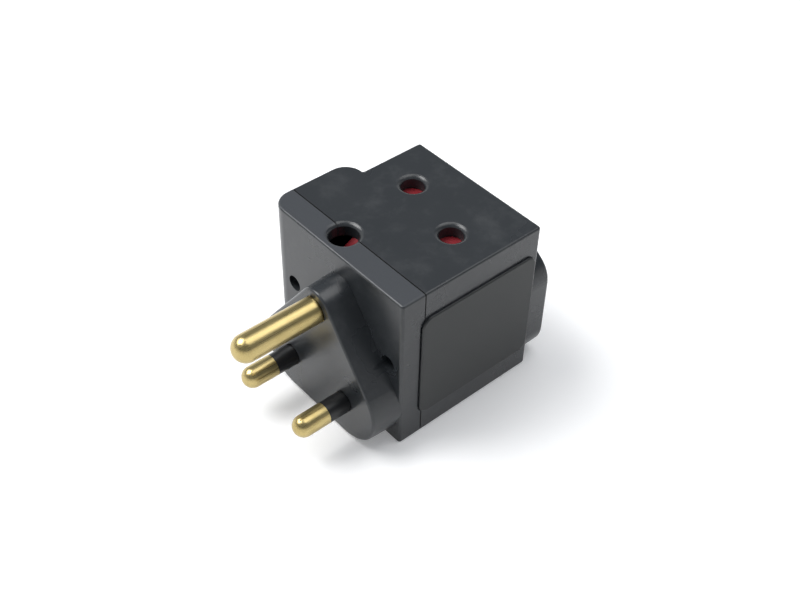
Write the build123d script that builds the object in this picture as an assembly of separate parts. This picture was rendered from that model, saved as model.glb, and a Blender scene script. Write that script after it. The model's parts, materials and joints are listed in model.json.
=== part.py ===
from build123d import *
from math import cos, radians, sin, tan
import os

# Two-way splitter for round-pin plugs: a three-pin plug in front, one outlet on top, one behind.
# Millimetres. +Z is up, the plug's pins point along -Y, and the origin is on the base under the
# middle of the body.

# Pins of the 15 A round-pin pattern
PIN_SPREAD = 25.4
PIN_RISE = 28.6
EARTH_R = 4.35
EARTH_LENGTH = 28.6
POLE_R = 3.525
POLE_LENGTH = 18.6
SLEEVE_LENGTH = 7.6
SLEEVE_WALL = 0.9
SLEEVE_REACH = 6.0
SLEEVE_SLACK = 0.03
SLEEVE_UNDER = 0.012
TAIL_R = 2.0
PIN_FLANGE = 0.65
PIN_FLANGE_THICK = 1.2
FLANGE_ROOM = 0.15
ROOT_GROOVE = 0.6
ROOT_GROOVE_DEPTH = 0.35

# Body
WIDTH = 54.0
DEPTH = 54.0
POLE_Z = 14.3
WALL = 2.0
FRONT_DEPTH = 8.7
EDGE_ROUND = 0.7
CORNER_ROUND = 1.0
SEAM_WIDTH = 0.3
SEAM_DEPTH = 0.4
LIP_DEPTH = 1.8
LIP_GAP = 0.1
LIP_WALL = 0.9

# Hump on the left side, full height
HUMP_OUT = 7.0
HUMP_DEPTH = 30.5
HUMP_INNER_ROUND = 0.5
HUMP_FLAT = 0.1

# Boss that carries the pins
BOSS_OUT = 9.8
BOSS_DRAFT = 3.0
BOSS_EARTH_R = 6.7
BOSS_MARGIN = 0.6
BOSS_WALL = 2.6
BOSS_EDGE = 0.8
PIN_HOLE_SLACK = 0.05
SEAT_WALL = 1.6

# Raised plate on the right side, whose front edge laps into the front cover
PANEL_OUT = 0.9
PANEL_FRONT = 7.3
PANEL_BACK = 52.5
PANEL_LOW = 8.5
PANEL_HIGH = 47.8
PANEL_CORNER = 3.5
PANEL_EDGE = 0.6
PANEL_GAP = 0.3

# Raised face behind, which carries the rear outlet
REAR_OUT = 7.0
REAR_LOW = 0.6
REAR_OVER_EARTH = 6.8
REAR_SHOULDER = 36.0
REAR_TOP_HALF = 8.5
REAR_BOTTOM_ROUND = 11.0
REAR_SIDE_ROUND = 10.0
REAR_TOP_ROUND = 6.0
REAR_EDGE = 1.0
REAR_HOLE_LEAD = 1.0
REAR_WALL = 1.8

# Outlet, in a frame of its own: origin where the earth hole meets the face, y towards the other
# two holes, z out of the face
EARTH_HOLE_SLACK = 0.3
POLE_HOLE_SLACK = 0.275
TOP_HOLE_LEAD = 2.2
HOLE_LEAD_DEPTH = 1.0
COLLAR_WALL = 1.4
COLLAR_DEPTH = 4.4
TOP_TURN = -15.0
TOP_EARTH_X = -7.5
TOP_TUBE_GAP = 0.3

# Shutter and its guide
SHUTTER_GAP = 0.2
SHUTTER_THICK = 1.6
FLAP_LAP = 0.1
FLAP_SIDE = 1.8
FLAP_ROUND = 2.0
BAR_DEPTH = 3.1
STEM_HALF = 3.5
RAMP_HALF = 3.0
RAMP_START = 4.6
RAMP_END = -3.0
RAMP_DROP = 6.8
RAMP_NOSE = 1.0
SLOT_HALF = 1.5
SLOT_START = 8.0
POST_START = 19.0
POST_DEPTH = 2.0
POST_HALF = 1.2
STOP_GAP = 0.2
GUIDE_GAP = 0.2
GUIDE_WALL = 1.6
GUIDE_LIP = 1.0
GUIDE_LAP = 0.9
GUIDE_END = 38.0
BRIDGE_GAP = 0.5
SPRING_WIRE = 0.4
SPRING_R = 1.1
SPRING_TURNS = 6
SPRING_GAP = 0.1

# Contact tubes, clips and bars
TUBE_WALL = 0.7
TUBE_GRIP = 0.1
TUBE_FLOOR = 1.0
TUBE_SPARE = 0.6
MOUTH_UNDER_RAMP = 1.6
MOUTH_UNDER_FLAP = 0.4
TUBE_SLIT = 0.9
CLIP_GROOVE = 0.35
CLIP_PROUD = 0.25
CLIP_WIDTH = 1.6
CLIP_GAP = 0.03
CLIP_FROM_MOUTH = 3.0
CLIP_UNDER_SHUTTER = 2.85
RIVET_R = 1.5
RIVET_HEAD_R = 2.4
RIVET_HEAD = 0.8
RIVET_SLACK = 0.05
BAR_THICK = 1.2
BAR_HALF = 4.0
WEB_GAP = 0.575
EARTH_TAB_LEFT = 3.2

# Housing screws, sunk in wells in the front cover
SCREW_Z = 30.8
SCREW_LEFT_IN = 10.7
SCREW_RIGHT_IN = 5.8
WELL_R = 2.7
WELL_WALL = 1.0
WELL_DEPTH = 6.0
SCREW_HEAD_R = 2.5
SCREW_HEAD = 1.8
SCREW_R = 1.45
SCREW_LENGTH = 14.0
SCREW_SLACK = 0.08
CROSS_ARM = 1.5
CROSS_WIDTH = 0.6
CROSS_DEPTH = 1.0
POST_R = 3.2
POST_LENGTH = 15.0
RIB_THICK = 1.6

# Places worked out from the sizes above
FRONT_Y = -DEPTH / 2
BACK_Y = DEPTH / 2
SEAM_Y = FRONT_Y + FRONT_DEPTH
BOSS_Y = FRONT_Y - BOSS_OUT
REAR_Y = BACK_Y + REAR_OUT
HUMP_ROUND = HUMP_OUT - HUMP_INNER_ROUND - HUMP_FLAT
POLE_X = PIN_SPREAD / 2
EARTH_Z = POLE_Z + PIN_RISE
BOSS_POLE_R = min(WIDTH / 2 - POLE_X, POLE_Z) - BOSS_MARGIN
REAR_HIGH = EARTH_Z + REAR_OVER_EARTH
SCREW_LEFT_X = SCREW_LEFT_IN - HUMP_OUT - WIDTH / 2
SCREW_RIGHT_X = WIDTH / 2 - SCREW_RIGHT_IN
SEAT_Y = FRONT_Y + WALL - 0.5
TAB_Y = SEAT_Y + PIN_FLANGE_THICK

EARTH_HOLE_R = EARTH_R + EARTH_HOLE_SLACK
POLE_HOLE_R = POLE_R + POLE_HOLE_SLACK
SHUTTER_TOP = COLLAR_DEPTH + SHUTTER_GAP
SHUTTER_LOW = SHUTTER_TOP + SHUTTER_THICK
EARTH_TUBE_R = EARTH_R - TUBE_GRIP / 2 + TUBE_WALL
TOP_EARTH_IN = WALL + EARTH_TUBE_R + TOP_TUBE_GAP
# The top shutter passes just over the rear earth contact
HEIGHT = EARTH_Z + EARTH_TUBE_R + CLIP_PROUD + CLIP_UNDER_SHUTTER + SHUTTER_LOW
FLAP_HALF = POLE_HOLE_R + FLAP_LAP
FLAP_OUTER = POLE_X + POLE_HOLE_R + FLAP_SIDE
BRIDGE_END = PIN_RISE - POLE_HOLE_R - COLLAR_WALL - BRIDGE_GAP
EARTH_MOUTH = SHUTTER_TOP + RAMP_DROP + RAMP_NOSE + MOUTH_UNDER_RAMP
POLE_MOUTH = SHUTTER_LOW + MOUTH_UNDER_FLAP
WEB_CLEAR = POLE_R - TUBE_GRIP / 2 + TUBE_WALL + CLIP_PROUD + WEB_GAP

TOP_FRAME = Plane(
    origin=(TOP_EARTH_X, FRONT_Y + TOP_EARTH_IN, HEIGHT),
    x_dir=(cos(radians(TOP_TURN)), sin(radians(TOP_TURN)), 0),
    z_dir=(0, 0, 1),
)
REAR_FRAME = Plane(origin=(0, REAR_Y, EARTH_Z), x_dir=(1, 0, 0), z_dir=(0, 1, 0))


def facing_front(y):
    """Plane at y whose normal points along -Y, with x along X and y along Z."""
    return Plane(origin=(0, y, 0), x_dir=(1, 0, 0), z_dir=(0, -1, 0))


def span_box(low, high):
    """Box between two corners."""
    size = [b - a for a, b in zip(low, high)]
    return Pos(*low) * Box(*size, align=Align.MIN)


def rod(x, z, r, y_low, y_high):
    """Round bar along Y."""
    return facing_front(y_high) * Pos(x, z, 0) * Cylinder(
        r, y_high - y_low, align=(Align.CENTER, Align.CENTER, Align.MIN)
    )


def drop(x, y, r, z_low, z_high):
    """Round bar along the local z of an outlet."""
    return Pos(x, y, z_low) * Cylinder(
        r, z_high - z_low, align=(Align.CENTER, Align.CENTER, Align.MIN)
    )


# Outer forms of the housing
def plan_outline(inset):
    """Plan of the body with its left hump, drawn in by inset."""
    right = WIDTH / 2 - inset
    hump = -WIDTH / 2 - HUMP_OUT + inset
    hump_back = FRONT_Y + HUMP_DEPTH - inset
    points = [
        (right, FRONT_Y + inset),
        (right, BACK_Y - inset),
        (-right, BACK_Y - inset),
        (-right, hump_back),
        (hump, hump_back),
        (hump, FRONT_Y + inset),
    ]
    outer = max(CORNER_ROUND - inset, 0.4)
    lobe = HUMP_ROUND - inset
    radii = [outer, outer, outer, HUMP_INNER_ROUND + inset, lobe, lobe]
    return rounded(points, radii)


def rounded(points, radii):
    """Closed outline with a radius of its own at each corner."""
    face = make_face(Polyline(*points, close=True))
    for point, radius in zip(points, radii):
        corner = face.vertices().sort_by_distance(point)[0]
        face = fillet(corner, radius)
    return face


def body_block():
    """The whole body as one block, before it is hollowed."""
    block = extrude(plan_outline(0), HEIGHT)
    rim = block.edges().group_by(Axis.Z)
    return fillet(rim[0] + rim[-1], EDGE_ROUND)


def body_hollow():
    return Pos(0, 0, WALL) * extrude(plan_outline(WALL), HEIGHT - 2 * WALL)


def boss_outline(inset):
    """Rounded triangle that wraps the three pins."""
    circles = [
        Pos(0, EARTH_Z) * Circle(BOSS_EARTH_R - inset),
        Pos(POLE_X, POLE_Z) * Circle(BOSS_POLE_R - inset),
        Pos(-POLE_X, POLE_Z) * Circle(BOSS_POLE_R - inset),
    ]
    return make_hull([edge for circle in circles for edge in circle.edges()])


def boss_block(inset, y_front, y_back):
    """Boss with a draft that widens it towards the body."""
    start = (y_front - BOSS_Y) * tan(radians(BOSS_DRAFT))
    front = Plane(origin=(0, y_front, 0), x_dir=(-1, 0, 0), z_dir=(0, 1, 0))
    return extrude(front * boss_outline(inset - start), y_back - y_front, taper=-BOSS_DRAFT)


def rear_outline(inset):
    """Outline of the raised rear face, flush with the sides of the body."""
    half = WIDTH / 2 - inset
    points = [
        (-half, REAR_LOW + inset),
        (half, REAR_LOW + inset),
        (half, REAR_SHOULDER),
        (REAR_TOP_HALF - inset / 2, REAR_HIGH - inset),
        (-REAR_TOP_HALF + inset / 2, REAR_HIGH - inset),
        (-half, REAR_SHOULDER),
    ]
    low = REAR_BOTTOM_ROUND - inset
    side = REAR_SIDE_ROUND - inset
    top = REAR_TOP_ROUND - inset
    return rounded(points, [low, low, side, top, top, side])


def panel_block(gap, x_low):
    """Raised plate on the right side, or the notch for it when gap is given."""
    low = PANEL_LOW - gap
    high = PANEL_HIGH + gap
    front = FRONT_Y + PANEL_FRONT - gap
    back = FRONT_Y + PANEL_BACK + gap
    plane = Plane(origin=(x_low, 0, 0), x_dir=(0, 1, 0), z_dir=(1, 0, 0))
    size = Rectangle(back - front, high - low)
    face = Pos((front + back) / 2, (low + high) / 2) * fillet(size.vertices(), PANEL_CORNER + gap)
    plate = extrude(plane * face, WIDTH / 2 + PANEL_OUT - x_low)
    if gap == 0:
        plate = fillet(plate.faces().sort_by(Axis.X)[-1].edges(), PANEL_EDGE)
    return plate


def hole_tool(x, y, r, depth, lead):
    """Pin hole with a rounded lead-in, cut down from the face."""
    middle = (r + lead * (1 - cos(radians(45))), -HOLE_LEAD_DEPTH * (1 - sin(radians(45))))
    profile = make_face(
        [
            Polyline((r, -HOLE_LEAD_DEPTH), (r, -depth), (0, -depth), (0, 1), (r + lead, 1), (r + lead, 0)),
            ThreePointArc((r + lead, 0), middle, (r, -HOLE_LEAD_DEPTH)),
        ]
    )
    return Pos(x, y, 0) * revolve(Plane.XZ * profile, Axis.Z)


def outlet_holes():
    """The three pin holes of one outlet: x, y and radius, earth first."""
    return [(0, 0, EARTH_HOLE_R), (-POLE_X, PIN_RISE, POLE_HOLE_R), (POLE_X, PIN_RISE, POLE_HOLE_R)]


def outlet_collars():
    collars = [drop(x, y, r + COLLAR_WALL, -COLLAR_DEPTH, -WALL / 2) for x, y, r in outlet_holes()]
    return collars


def outlet_cuts(lead):
    return [hole_tool(x, y, r, COLLAR_DEPTH + 1, lead) for x, y, r in outlet_holes()]


def front_half():
    """Everything in front of the seam."""
    reach = WIDTH + HUMP_OUT + HEIGHT
    return span_box((-reach, BOSS_Y - 1, -1), (reach, SEAM_Y, HEIGHT + 1))


def seam_groove():
    """Fine groove that runs round the outside where the two halves meet."""
    slab = span_box(
        (-WIDTH, SEAM_Y - SEAM_WIDTH, -1), (WIDTH, SEAM_Y, HEIGHT + 1)
    )
    return slab - Pos(0, 0, SEAM_DEPTH) * extrude(plan_outline(SEAM_DEPTH), HEIGHT - 2 * SEAM_DEPTH)


def lip_ring(y_front, slack):
    """Inner lip of the rear housing that enters the front cover; slack widens the seat for it."""
    outer_in = WALL - LIP_WALL - slack
    left = -WIDTH / 2 - HUMP_OUT
    ring = span_box(
        (left + outer_in, y_front, outer_in), (WIDTH / 2 - outer_in, SEAM_Y, HEIGHT - outer_in)
    )
    core = span_box(
        (left + WALL, y_front - 1, WALL), (WIDTH / 2 - WALL, SEAM_Y + 1, HEIGHT - WALL)
    )
    return ring - core


def earth_collar_room(slack):
    """Room round the top earth hole, where the lip stops."""
    return TOP_FRAME * drop(0, 0, EARTH_HOLE_R + COLLAR_WALL + slack, -COLLAR_DEPTH, 1)


# Housing
def front_cover():
    shell = (body_block() & front_half()) - body_hollow()
    boss = boss_block(0, BOSS_Y, FRONT_Y + WALL / 2)
    boss = fillet(boss.faces().sort_by(Axis.Y)[0].edges(), BOSS_EDGE)
    shell = shell + boss
    shell = shell - boss_block(BOSS_WALL, BOSS_Y + BOSS_WALL, FRONT_Y + WALL + 0.5)
    seats = [rod(0, EARTH_Z, EARTH_R + SEAT_WALL, BOSS_Y + 1, SEAT_Y)]
    wells = []
    for side in (-1, 1):
        seats.append(rod(side * POLE_X, POLE_Z, POLE_R + SEAT_WALL, BOSS_Y + 1, SEAT_Y))
    for x in (SCREW_LEFT_X, SCREW_RIGHT_X):
        wells.append(rod(x, SCREW_Z, WELL_R + WELL_WALL, FRONT_Y + WALL / 2, SEAM_Y))
    collar = (TOP_FRAME * outlet_collars()[0]) & front_half()
    shell = shell + seats + wells + collar
    holes = []
    for x, z, r in ((0, EARTH_Z, EARTH_R), (-POLE_X, POLE_Z, POLE_R), (POLE_X, POLE_Z, POLE_R)):
        holes.append(rod(x, z, r + PIN_HOLE_SLACK, BOSS_Y - 1, SEAT_Y + 1))
        holes.append(rod(x, z, r + PIN_FLANGE + FLANGE_ROOM, SEAT_Y, FRONT_Y + WALL + 1))
    for x in (SCREW_LEFT_X, SCREW_RIGHT_X):
        holes.append(rod(x, SCREW_Z, WELL_R, BOSS_Y - 1, FRONT_Y + WELL_DEPTH))
        holes.append(rod(x, SCREW_Z, SCREW_R + SCREW_SLACK, FRONT_Y, SEAM_Y + 1))
    shell = shell - holes - (TOP_FRAME * outlet_cuts(TOP_HOLE_LEAD)[0])
    seat = lip_ring(SEAM_Y - LIP_DEPTH - LIP_GAP, LIP_GAP) - earth_collar_room(0)
    shell = shell - seam_groove() - seat - (panel_block(PANEL_GAP, WIDTH / 2 - WALL - 0.5) & front_half())
    return shell


def rear_housing():
    shell = body_block() - front_half() - body_hollow()
    raised = extrude(Plane.XZ.offset(-REAR_Y) * rear_outline(0), REAR_Y - BACK_Y + WALL / 2)
    raised = fillet(raised.faces().sort_by(Axis.Y)[-1].edges(), REAR_EDGE)
    shell = shell + raised
    room = Plane.XZ.offset(-(REAR_Y - REAR_WALL)) * rear_outline(REAR_WALL)
    shell = shell - extrude(room, REAR_OUT - REAR_WALL + WALL + 0.5)
    lip = lip_ring(SEAM_Y - LIP_DEPTH, 0) - earth_collar_room(LIP_GAP)
    shell = shell + lip + panel_block(0, WIDTH / 2 - WALL + LIP_WALL)
    collars = [TOP_FRAME * collar for collar in outlet_collars()]
    collars[0] = collars[0] - front_half()
    collars += [REAR_FRAME * collar for collar in outlet_collars()]
    posts = []
    pilots = []
    for x, wall_x in ((SCREW_LEFT_X, -WIDTH / 2 - HUMP_OUT), (SCREW_RIGHT_X, WIDTH / 2)):
        posts.append(rod(x, SCREW_Z, POST_R, SEAM_Y, SEAM_Y + POST_LENGTH))
        low, high = sorted((x, wall_x + (WALL / 2 if wall_x < 0 else -WALL / 2)))
        rib_low = (low, SEAM_Y, SCREW_Z - RIB_THICK / 2)
        posts.append(span_box(rib_low, (high, SEAM_Y + POST_LENGTH, SCREW_Z + RIB_THICK / 2)))
        pilots.append(rod(x, SCREW_Z, SCREW_R + SCREW_SLACK, SEAM_Y - 1, SEAM_Y + POST_LENGTH - 2))
    shell = shell + collars + posts
    cuts = [TOP_FRAME * cut for cut in outlet_cuts(TOP_HOLE_LEAD)]
    cuts += [REAR_FRAME * cut for cut in outlet_cuts(REAR_HOLE_LEAD)]
    return shell - cuts - pilots


# Plug pins and sleeves
def tail(x, z):
    """Riveted end that holds a pin to its bar."""
    shank = rod(x, z, TAIL_R, TAB_Y, TAB_Y + BAR_THICK)
    head = rod(x, z, TAIL_R + 0.8, TAB_Y + BAR_THICK, TAB_Y + BAR_THICK + RIVET_HEAD)
    return shank + head


def domed_rod(x, z, r, y_tip, y_back):
    """Round pin with a hemispherical nose that points along -Y."""
    return rod(x, z, r, y_tip + r, y_back) + Pos(x, y_tip + r, z) * Sphere(r)


def root_groove(x, z, r):
    """Ring cut that leaves a fine groove round a pin where it enters the boss."""
    y_low, y_high = BOSS_Y - ROOT_GROOVE, BOSS_Y + ROOT_GROOVE
    core = rod(x, z, r - ROOT_GROOVE_DEPTH, y_low - 1, y_high + 1)
    return rod(x, z, r + 1, y_low, y_high) - core


def earth_pin():
    pin = domed_rod(0, EARTH_Z, EARTH_R, BOSS_Y - EARTH_LENGTH, SEAT_Y)
    flange = rod(0, EARTH_Z, EARTH_R + PIN_FLANGE, SEAT_Y, TAB_Y)
    return pin + flange + tail(0, EARTH_Z) - root_groove(0, EARTH_Z, EARTH_R)


def pole_pin(side):
    x = side * POLE_X
    nose_back = BOSS_Y - SLEEVE_LENGTH
    sleeve_back = BOSS_Y + SLEEVE_REACH
    pin = domed_rod(x, POLE_Z, POLE_R, BOSS_Y - POLE_LENGTH, nose_back)
    pin = pin + rod(x, POLE_Z, POLE_R - SLEEVE_WALL, nose_back, sleeve_back)
    pin = pin + rod(x, POLE_Z, POLE_R, sleeve_back, SEAT_Y)
    return pin + rod(x, POLE_Z, POLE_R + PIN_FLANGE, SEAT_Y, TAB_Y) + tail(x, POLE_Z)


def pin_sleeve(side):
    x = side * POLE_X
    y_low, y_high = BOSS_Y - SLEEVE_LENGTH, BOSS_Y + SLEEVE_REACH
    bore = rod(x, POLE_Z, POLE_R - SLEEVE_WALL + SLEEVE_SLACK, y_low - 1, y_high + 1)
    sleeve = rod(x, POLE_Z, POLE_R - SLEEVE_UNDER, y_low, y_high) - bore
    return sleeve - root_groove(x, POLE_Z, POLE_R)


# Outlet contacts, in the outlet's own frame
def contact_tube(x, y, r, mouth, reach):
    """Slit tube that grips a pin, closed at its foot, with a rivet that holds it to its bar."""
    inner = r - TUBE_GRIP / 2
    outer = inner + TUBE_WALL
    floor = -reach - TUBE_SPARE
    foot = floor - TUBE_FLOOR
    tube = drop(x, y, outer, foot, -mouth) - drop(x, y, inner, floor, -mouth + 1)
    lead = chamfer(tube.edges().group_by(Axis.Z)[-1].sort_by(SortBy.RADIUS)[0], TUBE_WALL / 2)
    slit = Pos(x, y, 0) * span_box((-TUBE_SLIT / 2, 0, floor + 1), (TUBE_SLIT / 2, outer + 1, 1))
    slit += Pos(x, y, 0) * span_box((-TUBE_SLIT / 2, -outer - 1, floor + 1), (TUBE_SLIT / 2, 0, 1))
    groove_z = -mouth - CLIP_FROM_MOUTH
    groove = drop(x, y, outer + 1, groove_z - CLIP_WIDTH - 0.1, groove_z + 0.1)
    groove -= drop(x, y, outer - CLIP_GROOVE, groove_z - CLIP_WIDTH - 1, groove_z + 1)
    shank = drop(x, y, RIVET_R, foot - BAR_THICK, foot)
    head = drop(x, y, RIVET_HEAD_R, foot - BAR_THICK - RIVET_HEAD, foot - BAR_THICK)
    return lead - slit - groove + shank + head


def contact_clip(x, y, r, mouth):
    """Open spring ring that sits in the tube's groove."""
    outer = r - TUBE_GRIP / 2 + TUBE_WALL
    top = -mouth - CLIP_FROM_MOUTH
    ring = drop(x, y, outer + CLIP_PROUD, top - CLIP_WIDTH, top)
    ring -= drop(x, y, outer - CLIP_GROOVE + CLIP_GAP, top - CLIP_WIDTH - 1, top + 1)
    gap = Pos(x, y, 0) * span_box((0, -TUBE_SLIT, top - CLIP_WIDTH - 1), (outer + 2, TUBE_SLIT, top + 1))
    return ring - gap


def outlet_parts(name, frame):
    """Contacts, clips, guide, shutter and spring of one outlet, placed by its frame."""
    parts = {
        f"{name}_earth_contact": contact_tube(0, 0, EARTH_R, EARTH_MOUTH, EARTH_LENGTH),
        f"{name}_earth_clip": contact_clip(0, 0, EARTH_R, EARTH_MOUTH),
        f"{name}_shutter_guide": shutter_guide(name),
        f"{name}_shutter": shutter(),
        f"{name}_shutter_spring": shutter_spring(),
    }
    for pole, side in (("live", -1), ("neutral", 1)):
        x = side * POLE_X
        parts[f"{name}_{pole}_contact"] = contact_tube(x, PIN_RISE, POLE_R, POLE_MOUTH, POLE_LENGTH)
        parts[f"{name}_{pole}_clip"] = contact_clip(x, PIN_RISE, POLE_R, POLE_MOUTH)
    return {node: frame * part for node, part in parts.items()}


# Shutter: two flaps on a stem, with a ramp that the earth pin pushes
def shutter():
    low, high = -SHUTTER_LOW, -SHUTTER_TOP
    far_edge = PIN_RISE + FLAP_HALF
    plate = span_box((-STEM_HALF, RAMP_START, low), (STEM_HALF, far_edge, high))
    plate += span_box((-FLAP_OUTER, far_edge - BAR_DEPTH, low), (FLAP_OUTER, far_edge, high))
    for side in (-1, 1):
        inner, outer = sorted((side * (POLE_X - POLE_HOLE_R - FLAP_LAP), side * FLAP_OUTER))
        plate += span_box((inner, PIN_RISE - FLAP_HALF, low), (outer, far_edge, high))
    corners = plate.edges().filter_by(Axis.Z).group_by(Axis.Y)
    plate = fillet(corners[-1], FLAP_ROUND)
    profile = make_face(
        Polyline(
            (RAMP_START, high),
            (RAMP_END, high - RAMP_DROP),
            (RAMP_END + RAMP_NOSE / 2, high - RAMP_DROP - RAMP_NOSE),
            (RAMP_START + 2.6, low),
            (RAMP_START + 2.6, high),
            close=True,
        )
    )
    ramp = Pos(-RAMP_HALF, 0, 0) * extrude(Plane.YZ * profile, 2 * RAMP_HALF)
    slot_end = POST_START + POST_DEPTH + STOP_GAP
    slot = span_box((-SLOT_HALF, SLOT_START, low - 1), (SLOT_HALF, slot_end, high + 1))
    return plate + ramp - slot


def shutter_guide(name):
    """Frame under the face that carries the shutter on two rails and stops its spring."""
    wall = WALL if name == "top" else REAR_WALL
    groove = FLAP_OUTER + GUIDE_GAP
    outer = groove + GUIDE_WALL
    lip_high = -SHUTTER_LOW - GUIDE_GAP / 2
    lip_low = lip_high - GUIDE_LIP
    bridge_low = -SHUTTER_TOP + GUIDE_GAP
    guide = span_box((-outer, POST_START, bridge_low), (outer, BRIDGE_END, -wall))
    for side in (-1, 1):
        near, far = sorted((side * groove, side * outer))
        guide += span_box((near, POST_START, lip_low), (far, GUIDE_END, -wall))
        near, far = sorted((side * (groove - GUIDE_LAP), side * outer))
        guide += span_box((near, POST_START, lip_low), (far, GUIDE_END, lip_high))
    post = span_box(
        (-POST_HALF, POST_START, lip_high), (POST_HALF, POST_START + POST_DEPTH, bridge_low)
    )
    return guide + post


def shutter_spring():
    """Compression spring that lies in the shutter's slot, against the guide's post."""
    length = POST_START - SLOT_START - 2 * SPRING_GAP - SPRING_WIRE
    helix = Helix(pitch=length / SPRING_TURNS, height=length, radius=SPRING_R)
    start = Plane(origin=helix @ 0, z_dir=helix % 0)
    coil = sweep(start * Circle(SPRING_WIRE / 2), path=helix)
    axis_z = -SHUTTER_TOP - SHUTTER_THICK / 2
    lay = Plane(
        origin=(0, SLOT_START + SPRING_GAP + SPRING_WIRE / 2, axis_z), x_dir=(1, 0, 0), z_dir=(0, 1, 0)
    )
    return lay * coil


# Bars that join the pins to the contacts
def foot_of(reach):
    """Depth of a contact's foot below the outlet's face."""
    return reach + TUBE_SPARE + TUBE_FLOOR


def pole_bar(side):
    """Strip with a web beside the contacts and three tabs: pin, top outlet, rear outlet."""
    x = side * POLE_X
    web_in, web_out = side * (POLE_X + WEB_CLEAR), side * (POLE_X + WEB_CLEAR + BAR_THICK)
    near, far = sorted((x - side * BAR_HALF, web_out))
    web_low, web_high = sorted((web_in, web_out))
    centre = TOP_FRAME.from_local_coords((x, PIN_RISE, 0))
    z_low, z_high = POLE_Z - BAR_HALF, POLE_Z + BAR_HALF
    rear_tab = REAR_Y - foot_of(POLE_LENGTH)
    top_tab = HEIGHT - foot_of(POLE_LENGTH)
    back = rear_tab - BAR_THICK
    web = span_box((web_low, TAB_Y, z_low), (web_high, rear_tab, z_high))
    upright = span_box(
        (web_low, centre.Y - BAR_HALF, z_low), (web_high, centre.Y + BAR_HALF, top_tab)
    )
    front = span_box((near, TAB_Y, z_low), (far, TAB_Y + BAR_THICK, z_high))
    rear = span_box((near, back, z_low), (far, rear_tab, z_high))
    top = span_box(
        (near, centre.Y - BAR_HALF, top_tab - BAR_THICK), (far, centre.Y + BAR_HALF, top_tab)
    )
    bar = web + upright + front + rear + top
    bar -= rod(x, POLE_Z, TAIL_R + RIVET_SLACK, TAB_Y - 1, TAB_Y + BAR_THICK + 1)
    bar -= rod(x, POLE_Z, RIVET_R + RIVET_SLACK, back - 1, rear_tab + 1)
    bar -= drop(centre.X, centre.Y, RIVET_R + RIVET_SLACK, top_tab - BAR_THICK - 1, top_tab + 1)
    return bar


def earth_bar():
    """Folded strip from the earth pin, under the top contact, to behind the rear contact."""
    top_x, top_y = TOP_EARTH_X, FRONT_Y + TOP_EARTH_IN
    floor = HEIGHT - foot_of(EARTH_LENGTH)
    rear = REAR_Y - foot_of(EARTH_LENGTH)
    right = BAR_HALF + 1
    crest = EARTH_Z + BAR_HALF
    front = span_box((-EARTH_TAB_LEFT, TAB_Y, floor - BAR_THICK), (right, TAB_Y + BAR_THICK, crest))
    flat = span_box((top_x - BAR_HALF, TAB_Y, floor - BAR_THICK), (right, rear, floor))
    riser = span_box((-right, rear - BAR_THICK, floor - BAR_THICK), (right, rear, crest))
    bar = front + flat + riser
    bar -= rod(0, EARTH_Z, TAIL_R + RIVET_SLACK, TAB_Y - 1, TAB_Y + BAR_THICK + 1)
    bar -= rod(0, EARTH_Z, RIVET_R + RIVET_SLACK, rear - BAR_THICK - 1, rear + 1)
    bar -= drop(top_x, top_y, RIVET_R + RIVET_SLACK, floor - BAR_THICK - 1, floor + 1)
    return bar


# Fasteners
def housing_screw(x):
    seat = FRONT_Y + WELL_DEPTH
    head = rod(x, SCREW_Z, SCREW_HEAD_R, seat - SCREW_HEAD, seat)
    head = fillet(head.faces().sort_by(Axis.Y)[0].edges(), SCREW_HEAD / 3)
    screw = head + rod(x, SCREW_Z, SCREW_R, seat, seat + SCREW_LENGTH)
    for half_x, half_z in ((CROSS_ARM, CROSS_WIDTH / 2), (CROSS_WIDTH / 2, CROSS_ARM)):
        low = (x - half_x, seat - SCREW_HEAD - 1, SCREW_Z - half_z)
        high = (x + half_x, seat - SCREW_HEAD + CROSS_DEPTH, SCREW_Z + half_z)
        screw -= span_box(low, high)
    return screw


def build():
    parts = {
        "front_cover": front_cover(),
        "rear_housing": rear_housing(),
        "earth_pin": earth_pin(),
        "live_pin": pole_pin(-1),
        "neutral_pin": pole_pin(1),
        "live_pin_sleeve": pin_sleeve(-1),
        "neutral_pin_sleeve": pin_sleeve(1),
        "earth_bar": earth_bar(),
        "live_bar": pole_bar(-1),
        "neutral_bar": pole_bar(1),
        "left_housing_screw": housing_screw(SCREW_LEFT_X),
        "right_housing_screw": housing_screw(SCREW_RIGHT_X),
    }
    parts.update(outlet_parts("top", TOP_FRAME))
    parts.update(outlet_parts("rear", REAR_FRAME))
    return parts


os.makedirs("parts", exist_ok=True)
for node, part in build().items():
    export_step(part, f"parts/{node}.step")
    print(node, round(part.volume))
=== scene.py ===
import json
import math

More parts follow.
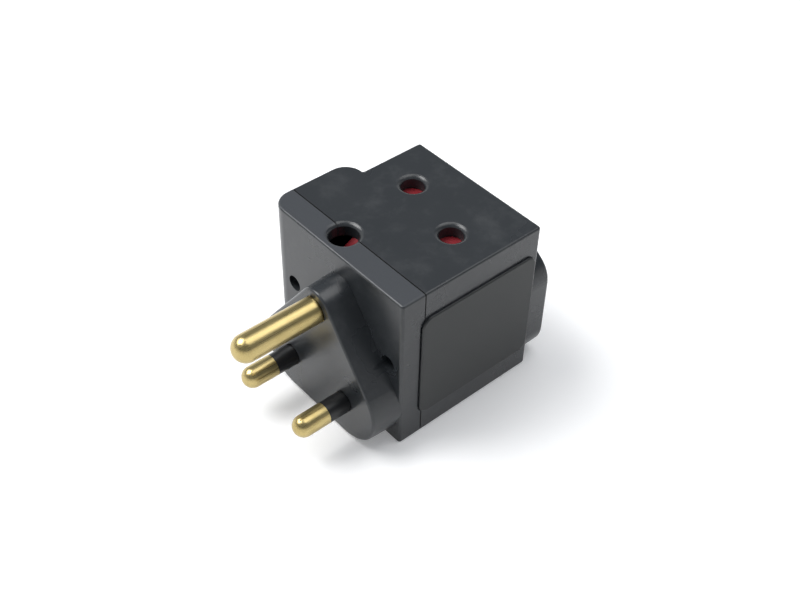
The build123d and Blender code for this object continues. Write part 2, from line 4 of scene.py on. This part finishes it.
import bmesh
import bpy
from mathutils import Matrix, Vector


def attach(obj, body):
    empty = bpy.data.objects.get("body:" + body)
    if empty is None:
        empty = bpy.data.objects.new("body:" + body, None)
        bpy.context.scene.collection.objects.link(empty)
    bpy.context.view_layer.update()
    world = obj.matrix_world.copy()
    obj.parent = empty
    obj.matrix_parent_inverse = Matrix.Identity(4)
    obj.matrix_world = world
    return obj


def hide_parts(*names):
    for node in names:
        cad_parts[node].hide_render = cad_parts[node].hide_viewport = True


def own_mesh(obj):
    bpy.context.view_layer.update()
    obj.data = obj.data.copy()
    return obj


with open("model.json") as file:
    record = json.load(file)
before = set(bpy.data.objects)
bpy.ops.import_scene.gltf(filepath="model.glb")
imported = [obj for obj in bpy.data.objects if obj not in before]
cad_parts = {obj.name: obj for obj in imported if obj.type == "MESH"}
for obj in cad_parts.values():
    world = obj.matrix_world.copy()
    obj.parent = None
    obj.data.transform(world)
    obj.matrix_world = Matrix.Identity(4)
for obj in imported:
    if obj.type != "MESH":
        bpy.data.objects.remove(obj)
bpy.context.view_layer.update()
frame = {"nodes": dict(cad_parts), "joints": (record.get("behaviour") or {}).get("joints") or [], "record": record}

# View of the photograph, in metres and degrees, with the lens and sensor in millimetres
CAMERA_PLACE = (0.1985, -0.1817, 0.2797)
CAMERA_TURN = (46.47, -1.07, 49.17)
CAMERA_LENS = 53.15
CAMERA_SENSOR = 36.0
CAMERA_NEAREST = 0.01

# Lamps, in metres and watts, and the even light of the room
KEY_PLACE = (-0.56, -0.42, 1.05)
KEY_SIZE = 0.75
KEY_POWER = 15.5
TOP_PLACE = (0.05, 0.16, 0.55)
TOP_SIZE = 0.40
TOP_POWER = 1.2
LAMP_AIM = (0.0, 0.0, 0.03)
AMBIENT = (0.245, 0.260, 0.285, 1.0)

# Floor and the ring round it, in metres
FLOOR_SIZE = 3.0
RING_R = 1.45
RING_HIGH = 0.45
RING_SIDES = 64

# Floor's surface
FLOOR_PALE = (0.90, 0.90, 0.90, 1.0)
FLOOR_ROUGH = 0.9

# Floor's glow, which is least near the object and full far from it, in metres
GLOW_WHITE = (1.0, 1.0, 1.0, 1.0)
GLOW_LEAST = 0.20
GLOW_NEAR = 0.25
GLOW_FAR = 0.80

# Colours of the finishes, in linear light
HOUSING_BLACK = (0.022, 0.025, 0.028, 1.0)
SCUFFED_BLACK = (0.036, 0.039, 0.042, 1.0)
# Painted sheen: a lighter colour on the front cover's top face, standing in for the light that face catches
COVER_SHEEN_BLACK = (0.041, 0.045, 0.051, 1.0)
PANEL_BLACK = (0.017, 0.019, 0.019, 1.0)
# Painted shade: a near-black band along the seam between the cover and the housing, standing in for the shade in
# the joint
SEAM_SHADE_BLACK = (0.005, 0.005, 0.006, 1.0)
SLEEVE_BLACK = (0.008, 0.008, 0.009, 1.0)
GUIDE_WHITE = (0.55, 0.55, 0.52, 1.0)
SHUTTER_RED = (0.20, 0.013, 0.019, 1.0)
PIN_BRASS = (0.50, 0.40, 0.18, 1.0)
PIN_TARNISH = (0.37, 0.28, 0.105, 1.0)
CONTACT_BRASS = (0.62, 0.43, 0.18, 1.0)
CONTACT_TARNISH = (0.34, 0.21, 0.08, 1.0)
SPRING_STEEL = (0.50, 0.50, 0.51, 1.0)
SCREW_ZINC = (0.34, 0.34, 0.35, 1.0)

# Roughness of the housing's patches
COVER_SHEEN_ROUGH = 0.42
PANEL_ROUGH = 0.52
SEAM_ROUGH = 0.75

# Bumps: strengths, and the depth of the draw lines in metres
GRAIN_BUMP = 0.35
LINE_BUMP = 0.2
LINE_DEPTH = 0.00003

# Patterns on the finishes, in repeats to the metre
CLOUD_SCALE = 55.0
SCUFF_SCALE = 110.0
TARNISH_SCALE = 140.0
PIN_LINES = (2600, 60, 2600)
CONTACT_LINES = (1800, 300, 1800)
STEEL_LINES = (900, 900, 900)

# Stretch of a noise's values that a finish uses
SHEEN_RANGE = (0.3, 0.7)
SCUFF_RANGE = (0.50, 0.70)
TARNISH_RANGE = (0.48, 0.78)
TARNISH_MOST = 0.7

# Places on the housing, in metres
HOUSING_TOP = 0.0572
COVER_FRONT = -0.027
SEAM_Y = -0.0183
SIDE_X = 0.027
PANEL_FRONT = -0.0197
PANEL_BACK = 0.0255
PANEL_LOW = 0.0085
PANEL_HIGH = 0.0478

# Margins of the patches, in metres: past the housing, off its side, off an edge and round the seam
PAST_SIDES = 0.05
PAST_ENDS = 0.001
PAST_PANEL = 0.002
OFF_SIDE = 0.0002
OFF_EDGE = 0.0003
SEAM_BEFORE = 0.00045
SEAM_BEHIND = 0.0001

# Rise of a patch's mask inside its border, to the metre
BORDER_STEEPNESS = 8000.0

# Lowest and highest corner of each patch
PANEL_FACE = (
    (SIDE_X + OFF_SIDE, PANEL_FRONT, PANEL_LOW),
    (SIDE_X + PAST_PANEL, PANEL_BACK, PANEL_HIGH),
)
# The front cover's top face, which gets the painted sheen
COVER_TOP_SHEEN = (
    (-PAST_SIDES, COVER_FRONT + OFF_EDGE, HOUSING_TOP - OFF_EDGE),
    (PAST_SIDES, SEAM_Y, HOUSING_TOP + PAST_ENDS),
)
# Narrow band along the seam, which gets the painted shade
SEAM_SHADE_BAND = (
    (-PAST_SIDES, SEAM_Y - SEAM_BEFORE, -PAST_ENDS),
    (SIDE_X + OFF_SIDE, SEAM_Y + SEAM_BEHIND, HOUSING_TOP + PAST_ENDS),
)

# Distance under which two corners of a spring's mesh are one, in metres
SAME_PLACE = 0.000001


# Shader helpers
def feed(tree, source, target):
    """Links a socket to an input, or sets a plain number, vector or colour there."""
    if isinstance(source, bpy.types.NodeSocket):
        tree.links.new(source, target)
    else:
        target.default_value = source


def group_shell(name, inputs, outputs):
    """Empty shader group with named sockets, each a value or a vector."""
    tree = bpy.data.node_groups.new(name, "ShaderNodeTree")
    kinds = {"value": "NodeSocketFloat", "vector": "NodeSocketVector"}
    for label, kind in inputs.items():
        tree.interface.new_socket(name=label, in_out="INPUT", socket_type=kinds[kind])
    for label in outputs:
        tree.interface.new_socket(name=label, in_out="OUTPUT", socket_type=kinds["value"])
    return tree, tree.nodes.new("NodeGroupInput"), tree.nodes.new("NodeGroupOutput")


def noise(tree, place, scale, detail, roughness=0.5):
    """Value of a noise pattern."""
    node = tree.nodes.new("ShaderNodeTexNoise")
    feed(tree, place, node.inputs["Vector"])
    feed(tree, scale, node.inputs["Scale"])
    node.inputs["Detail"].default_value = detail
    node.inputs["Roughness"].default_value = roughness
    return node.outputs["Fac"]


def ramp(tree, value, stretch, low=0.0, high=1.0):
    """Value that runs from low to high as another runs along a stretch."""
    node = tree.nodes.new("ShaderNodeMapRange")
    node.inputs["From Min"].default_value = stretch[0]
    node.inputs["From Max"].default_value = stretch[1]
    feed(tree, value, node.inputs["Value"])
    feed(tree, low, node.inputs["To Min"])
    feed(tree, high, node.inputs["To Max"])
    return node.outputs["Result"]


def value_math(tree, operation, first, second, clamp=False):
    """Result of one sum on two values."""
    node = tree.nodes.new("ShaderNodeMath")
    node.operation = operation
    node.use_clamp = clamp
    feed(tree, first, node.inputs[0])
    feed(tree, second, node.inputs[1])
    return node.outputs["Value"]


def vector_math(tree, operation, first, second):
    """Result of one sum on two vectors."""
    node = tree.nodes.new("ShaderNodeVectorMath")
    node.operation = operation
    feed(tree, first, node.inputs[0])
    feed(tree, second, node.inputs[1])
    return node.outputs["Vector"]


def blend(tree, kind, mask, under, over):
    """Colour or value, RGBA or FLOAT, that goes from one to another where a mask is one."""
    node = tree.nodes.new("ShaderNodeMix")
    node.data_type = kind
    feed(tree, mask, node.inputs["Factor"])
    feed(tree, under, node.inputs["A"])
    feed(tree, over, node.inputs["B"])
    return node.outputs["Result"]


# Effects that several finishes share
def moulded_skin():
    """Fine spark-eroded grain, slow changes of sheen and pale scuffs on moulded plastic."""
    inputs = {"Place": "vector", "Grain Scale": "value", "Smooth": "value", "Rough": "value"}
    tree, given, out = group_shell("moulded skin", inputs, ("Roughness", "Height", "Scuffs"))
    place = given.outputs["Place"]
    grain = noise(tree, place, given.outputs["Grain Scale"], detail=2.0)
    cloud = noise(tree, place, CLOUD_SCALE, detail=3.0)
    sheen = ramp(tree, cloud, SHEEN_RANGE, given.outputs["Smooth"], given.outputs["Rough"])
    marks = noise(tree, place, SCUFF_SCALE, detail=7.0, roughness=0.72)
    feed(tree, sheen, out.inputs["Roughness"])
    feed(tree, grain, out.inputs["Height"])
    feed(tree, ramp(tree, marks, SCUFF_RANGE), out.inputs["Scuffs"])
    return tree


def drawn_metal():
    """Fine draw lines along a pin or strip, with tarnish in slow patches."""
    inputs = {"Place": "vector", "Lines": "vector", "Smooth": "value", "Rough": "value"}
    tree, given, out = group_shell("drawn metal", inputs, ("Roughness", "Height", "Tarnish"))
    lines = noise(tree, given.outputs["Lines"], scale=1.0, detail=3.0, roughness=0.6)
    stains = noise(tree, given.outputs["Place"], TARNISH_SCALE, detail=4.0, roughness=0.55)
    sheen = ramp(tree, lines, SHEEN_RANGE, given.outputs["Smooth"], given.outputs["Rough"])
    feed(tree, sheen, out.inputs["Roughness"])
    feed(tree, lines, out.inputs["Height"])
    feed(tree, ramp(tree, stains, TARNISH_RANGE, high=TARNISH_MOST), out.inputs["Tarnish"])
    return tree


def fenced_patch():
    """Mask that is one inside a box between two corners, with a narrow soft border."""
    inputs = {"Place": "vector", "Low": "vector", "High": "vector"}
    tree, given, out = group_shell("fenced patch", inputs, ("Mask",))
    place = given.outputs["Place"]
    from_low = vector_math(tree, "SUBTRACT", place, given.outputs["Low"])
    to_high = vector_math(tree, "SUBTRACT", given.outputs["High"], place)
    split = tree.nodes.new("ShaderNodeSeparateXYZ")
    feed(tree, vector_math(tree, "MINIMUM", from_low, to_high), split.inputs["Vector"])
    nearer = value_math(tree, "MINIMUM", split.outputs["X"], split.outputs["Y"])
    nearest = value_math(tree, "MINIMUM", nearer, split.outputs["Z"])
    mask = value_math(tree, "MULTIPLY", nearest, BORDER_STEEPNESS, clamp=True)
    feed(tree, mask, out.inputs["Mask"])
    return tree


MOULDED_SKIN = moulded_skin()
DRAWN_METAL = drawn_metal()
FENCED_PATCH = fenced_patch()


# Finishes
def new_finish(name, colour):
    """Material with its tree, its Principled shader and the object coordinates."""
    material = bpy.data.materials.new(name)
    material.use_nodes = True
    tree = material.node_tree
    shader = tree.nodes["Principled BSDF"]
    shader.inputs["Base Color"].default_value = colour
    place = tree.nodes.new("ShaderNodeTexCoord").outputs["Object"]
    return material, tree, shader, place


def add_group(tree, group, values):
    """Shared effect with this finish's own values."""
    node = tree.nodes.new("ShaderNodeGroup")
    node.node_tree = group
    for label, value in values.items():
        feed(tree, value, node.inputs[label])
    return node


def add_bump(tree, height, shader, strength, depth):
    """Bump from a height pattern, with its depth in metres."""
    bump = tree.nodes.new("ShaderNodeBump")
    bump.inputs["Strength"].default_value = strength
    bump.inputs["Distance"].default_value = depth
    feed(tree, height, bump.inputs["Height"])
    feed(tree, bump.outputs["Normal"], shader.inputs["Normal"])


def plastic_finish(name, colour, smooth, rough, grain_scale, grain_depth, scuffed=None, patches=()):
    """Moulded plastic. It may have scuffs, and patches with their own colour and roughness."""
    material, tree, shader, place = new_finish(name, colour)
    values = {"Place": place, "Grain Scale": grain_scale, "Smooth": smooth, "Rough": rough}
    skin = add_group(tree, MOULDED_SKIN, values)
    sheen = skin.outputs["Roughness"]
    if scuffed is not None:
        colour = blend(tree, "RGBA", skin.outputs["Scuffs"], colour, scuffed)
    for corners, patch_colour, patch_rough in patches:
        patch = add_group(tree, FENCED_PATCH, {"Place": place, "Low": corners[0], "High": corners[1]})
        colour = blend(tree, "RGBA", patch.outputs["Mask"], colour, patch_colour)
        sheen = blend(tree, "FLOAT", patch.outputs["Mask"], sheen, patch_rough)
    feed(tree, colour, shader.inputs["Base Color"])
    feed(tree, sheen, shader.inputs["Roughness"])
    add_bump(tree, skin.outputs["Height"], shader, GRAIN_BUMP, grain_depth)
    return material


def housing_finish(name, patches):
    """Black plastic of both halves of the housing, with scuffs."""
    return plastic_finish(
        name,
        HOUSING_BLACK,
        smooth=0.25,
        rough=0.35,
        grain_scale=3200.0,
        grain_depth=0.00003,
        scuffed=SCUFFED_BLACK,
        patches=patches,
    )


def metal_finish(name, colour, tarnished, smooth, rough, lines):
    """Metal with draw lines. They run along the axis on which they repeat least."""
    material, tree, shader, place = new_finish(name, colour)
    shader.inputs["Metallic"].default_value = 1.0
    stretch = tree.nodes.new("ShaderNodeMapping")
    stretch.inputs["Scale"].default_value = lines
    feed(tree, place, stretch.inputs["Vector"])
    values = {"Place": place, "Lines": stretch.outputs["Vector"], "Smooth": smooth, "Rough": rough}
    drawn = add_group(tree, DRAWN_METAL, values)
    stained = blend(tree, "RGBA", drawn.outputs["Tarnish"], colour, tarnished)
    feed(tree, stained, shader.inputs["Base Color"])
    feed(tree, drawn.outputs["Roughness"], shader.inputs["Roughness"])
    add_bump(tree, drawn.outputs["Height"], shader, LINE_BUMP, LINE_DEPTH)
    return material


SLEEVE_FINISH = plastic_finish(
    "black sleeve", SLEEVE_BLACK, smooth=0.28, rough=0.36, grain_scale=4200.0, grain_depth=0.00002
)
GUIDE_FINISH = plastic_finish(
    "white guide", GUIDE_WHITE, smooth=0.45, rough=0.6, grain_scale=2600.0, grain_depth=0.00004
)
SHUTTER_FINISH = plastic_finish(
    "red shutter", SHUTTER_RED, smooth=0.32, rough=0.45, grain_scale=2600.0, grain_depth=0.00003
)
PIN_FINISH = metal_finish("pin brass", PIN_BRASS, PIN_TARNISH, smooth=0.24, rough=0.36, lines=PIN_LINES)
CONTACT_FINISH = metal_finish(
    "contact brass", CONTACT_BRASS, CONTACT_TARNISH, smooth=0.28, rough=0.42, lines=CONTACT_LINES
)
SPRING_FINISH = metal_finish(
    "spring steel", SPRING_STEEL, SCREW_ZINC, smooth=0.25, rough=0.4, lines=STEEL_LINES
)
SCREW_FINISH = metal_finish(
    "screw zinc", SCREW_ZINC, SPRING_STEEL, smooth=0.3, rough=0.45, lines=STEEL_LINES
)
# Patch of painted shade along the seam
SEAM_SHADE_PATCH = (SEAM_SHADE_BAND, SEAM_SHADE_BLACK, SEAM_ROUGH)
# Patch of painted sheen on the front cover's top face
COVER_SHEEN_PATCH = (COVER_TOP_SHEEN, COVER_SHEEN_BLACK, COVER_SHEEN_ROUGH)
PANEL_PATCH = (PANEL_FACE, PANEL_BLACK, PANEL_ROUGH)

# The housing's halves have their own finishes, and each other piece has its slot's
HALVES = {
    "front_cover": housing_finish("black cover", (COVER_SHEEN_PATCH, SEAM_SHADE_PATCH)),
    "rear_housing": housing_finish("black housing", (PANEL_PATCH, SEAM_SHADE_PATCH)),
}
SLOTS = {
    "sleeve_plastic": SLEEVE_FINISH,
    "inner_plastic": GUIDE_FINISH,
    "shutter_plastic": SHUTTER_FINISH,
    "pin_brass": PIN_FINISH,
    "contact_brass": CONTACT_FINISH,
    "spring_steel": SPRING_FINISH,
    "screw_steel": SCREW_FINISH,
}


# Pieces
def dress_nodes():
    """Gives each CAD piece its finish."""
    for part in frame["record"]["subparts"]:
        name = part["node"]
        finish = HALVES.get(name) or SLOTS[part["material_slot"]]
        node = frame["nodes"][name]
        node.data.materials.clear()
        node.data.materials.append(finish)


def show(name, data):
    """New object in the scene for a mesh, a lamp or the camera."""
    thing = bpy.data.objects.new(name, data)
    bpy.context.scene.collection.objects.link(thing)
    return thing


def closing_springs():
    """Copies of the springs with doubled corners merged, fixed to the housing in place of the CAD springs; the
    post holds one end of each.
    """
    for slide in frame["joints"]:
        shutter = slide["child"]
        node = frame["nodes"][f"{shutter}_spring"]
        mesh = node.data.copy()
        coil = bmesh.new()
        coil.from_mesh(mesh)
        bmesh.ops.remove_doubles(coil, verts=coil.verts, dist=SAME_PLACE)
        coil.to_mesh(mesh)
        coil.free()
        spring = show(shutter.replace("shutter", "closing_spring"), mesh)
        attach(spring, "housing")
        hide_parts(node.name)
        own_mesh(spring)


# Studio
def background_rays(tree):
    """One for rays that come from the camera, a gloss or a clear piece, and zero for the rest."""
    seen = tree.nodes.new("ShaderNodeLightPath")
    either = value_math(tree, "MAXIMUM", seen.outputs["Is Camera Ray"], seen.outputs["Is Glossy Ray"])
    return value_math(tree, "MAXIMUM", either, seen.outputs["Is Transmission Ray"])


def studio_floor():
    """Pale floor that keeps the shadow near the object and turns white towards the backdrop."""
    mesh = bpy.data.meshes.new("studio_floor")
    sheet = bmesh.new()
    bmesh.ops.create_grid(sheet, x_segments=1, y_segments=1, size=FLOOR_SIZE / 2)
    sheet.to_mesh(mesh)
    sheet.free()
    material, tree, shader, place = new_finish("studio floor", FLOOR_PALE)
    shader.inputs["Roughness"].default_value = FLOOR_ROUGH
    shader.inputs["Specular IOR Level"].default_value = 0.0
    shader.inputs["Emission Color"].default_value = GLOW_WHITE
    distance = tree.nodes.new("ShaderNodeVectorMath")
    distance.operation = "LENGTH"
    feed(tree, place, distance.inputs[0])
    glow = ramp(tree, distance.outputs["Value"], (GLOW_NEAR, GLOW_FAR), low=GLOW_LEAST)
    lift = value_math(tree, "MULTIPLY", background_rays(tree), glow)
    feed(tree, lift, shader.inputs["Emission Strength"])
    mesh.materials.append(material)
    floor = show("studio_floor", mesh)


def studio_backdrop():
    """White ring round the floor, which lets the soft light of the room through."""
    mesh = bpy.data.meshes.new("studio_backdrop")
    ring = bmesh.new()
    bmesh.ops.create_circle(ring, radius=RING_R, segments=RING_SIDES)
    raised = bmesh.ops.extrude_edge_only(ring, edges=ring.edges[:])["geom"]
    top = [item for item in raised if isinstance(item, bmesh.types.BMVert)]
    bmesh.ops.translate(ring, verts=top, vec=(0.0, 0.0, RING_HIGH))
    ring.to_mesh(mesh)
    ring.free()
    material = bpy.data.materials.new("studio backdrop")
    material.use_nodes = True
    tree = material.node_tree
    tree.nodes.clear()
    clear = tree.nodes.new("ShaderNodeBsdfTransparent")
    white = tree.nodes.new("ShaderNodeEmission")
    mix = tree.nodes.new("ShaderNodeMixShader")
    out = tree.nodes.new("ShaderNodeOutputMaterial")
    feed(tree, background_rays(tree), mix.inputs[0])
    feed(tree, clear.outputs[0], mix.inputs[1])
    feed(tree, white.outputs[0], mix.inputs[2])
    feed(tree, mix.outputs[0], out.inputs["Surface"])
    mesh.materials.append(material)
    backdrop = show("studio_backdrop", mesh)


def studio_world():
    """Even, slightly cool light from all sides."""
    world = bpy.data.worlds.new("studio")
    world.use_nodes = True
    world.node_tree.nodes["Background"].inputs["Color"].default_value = AMBIENT
    bpy.context.scene.world = world


def studio_lamp(name, place, size, power):
    """Square lamp that faces the object."""
    lamp = bpy.data.lights.new(name, "AREA")
    lamp.shape = "SQUARE"
    lamp.size = size
    lamp.energy = power
    holder = show(name, lamp)
    holder.location = place
    holder.rotation_euler = (Vector(LAMP_AIM) - Vector(place)).to_track_quat("-Z", "Y").to_euler()


def photo_camera():
    """Camera that sees the object as the photograph does."""
    camera = bpy.data.cameras.new("photo_camera")
    camera.lens = CAMERA_LENS
    camera.sensor_width = CAMERA_SENSOR
    camera.clip_start = CAMERA_NEAREST
    holder = show("photo_camera", camera)
    holder.location = CAMERA_PLACE
    holder.rotation_euler = [math.radians(angle) for angle in CAMERA_TURN]
    bpy.context.scene.camera = holder


dress_nodes()
closing_springs()
studio_floor()
studio_backdrop()
studio_world()
studio_lamp("key_lamp", KEY_PLACE, KEY_SIZE, KEY_POWER)
studio_lamp("top_lamp", TOP_PLACE, TOP_SIZE, TOP_POWER)
photo_camera()
bpy.context.scene.view_settings.view_transform = "Standard"
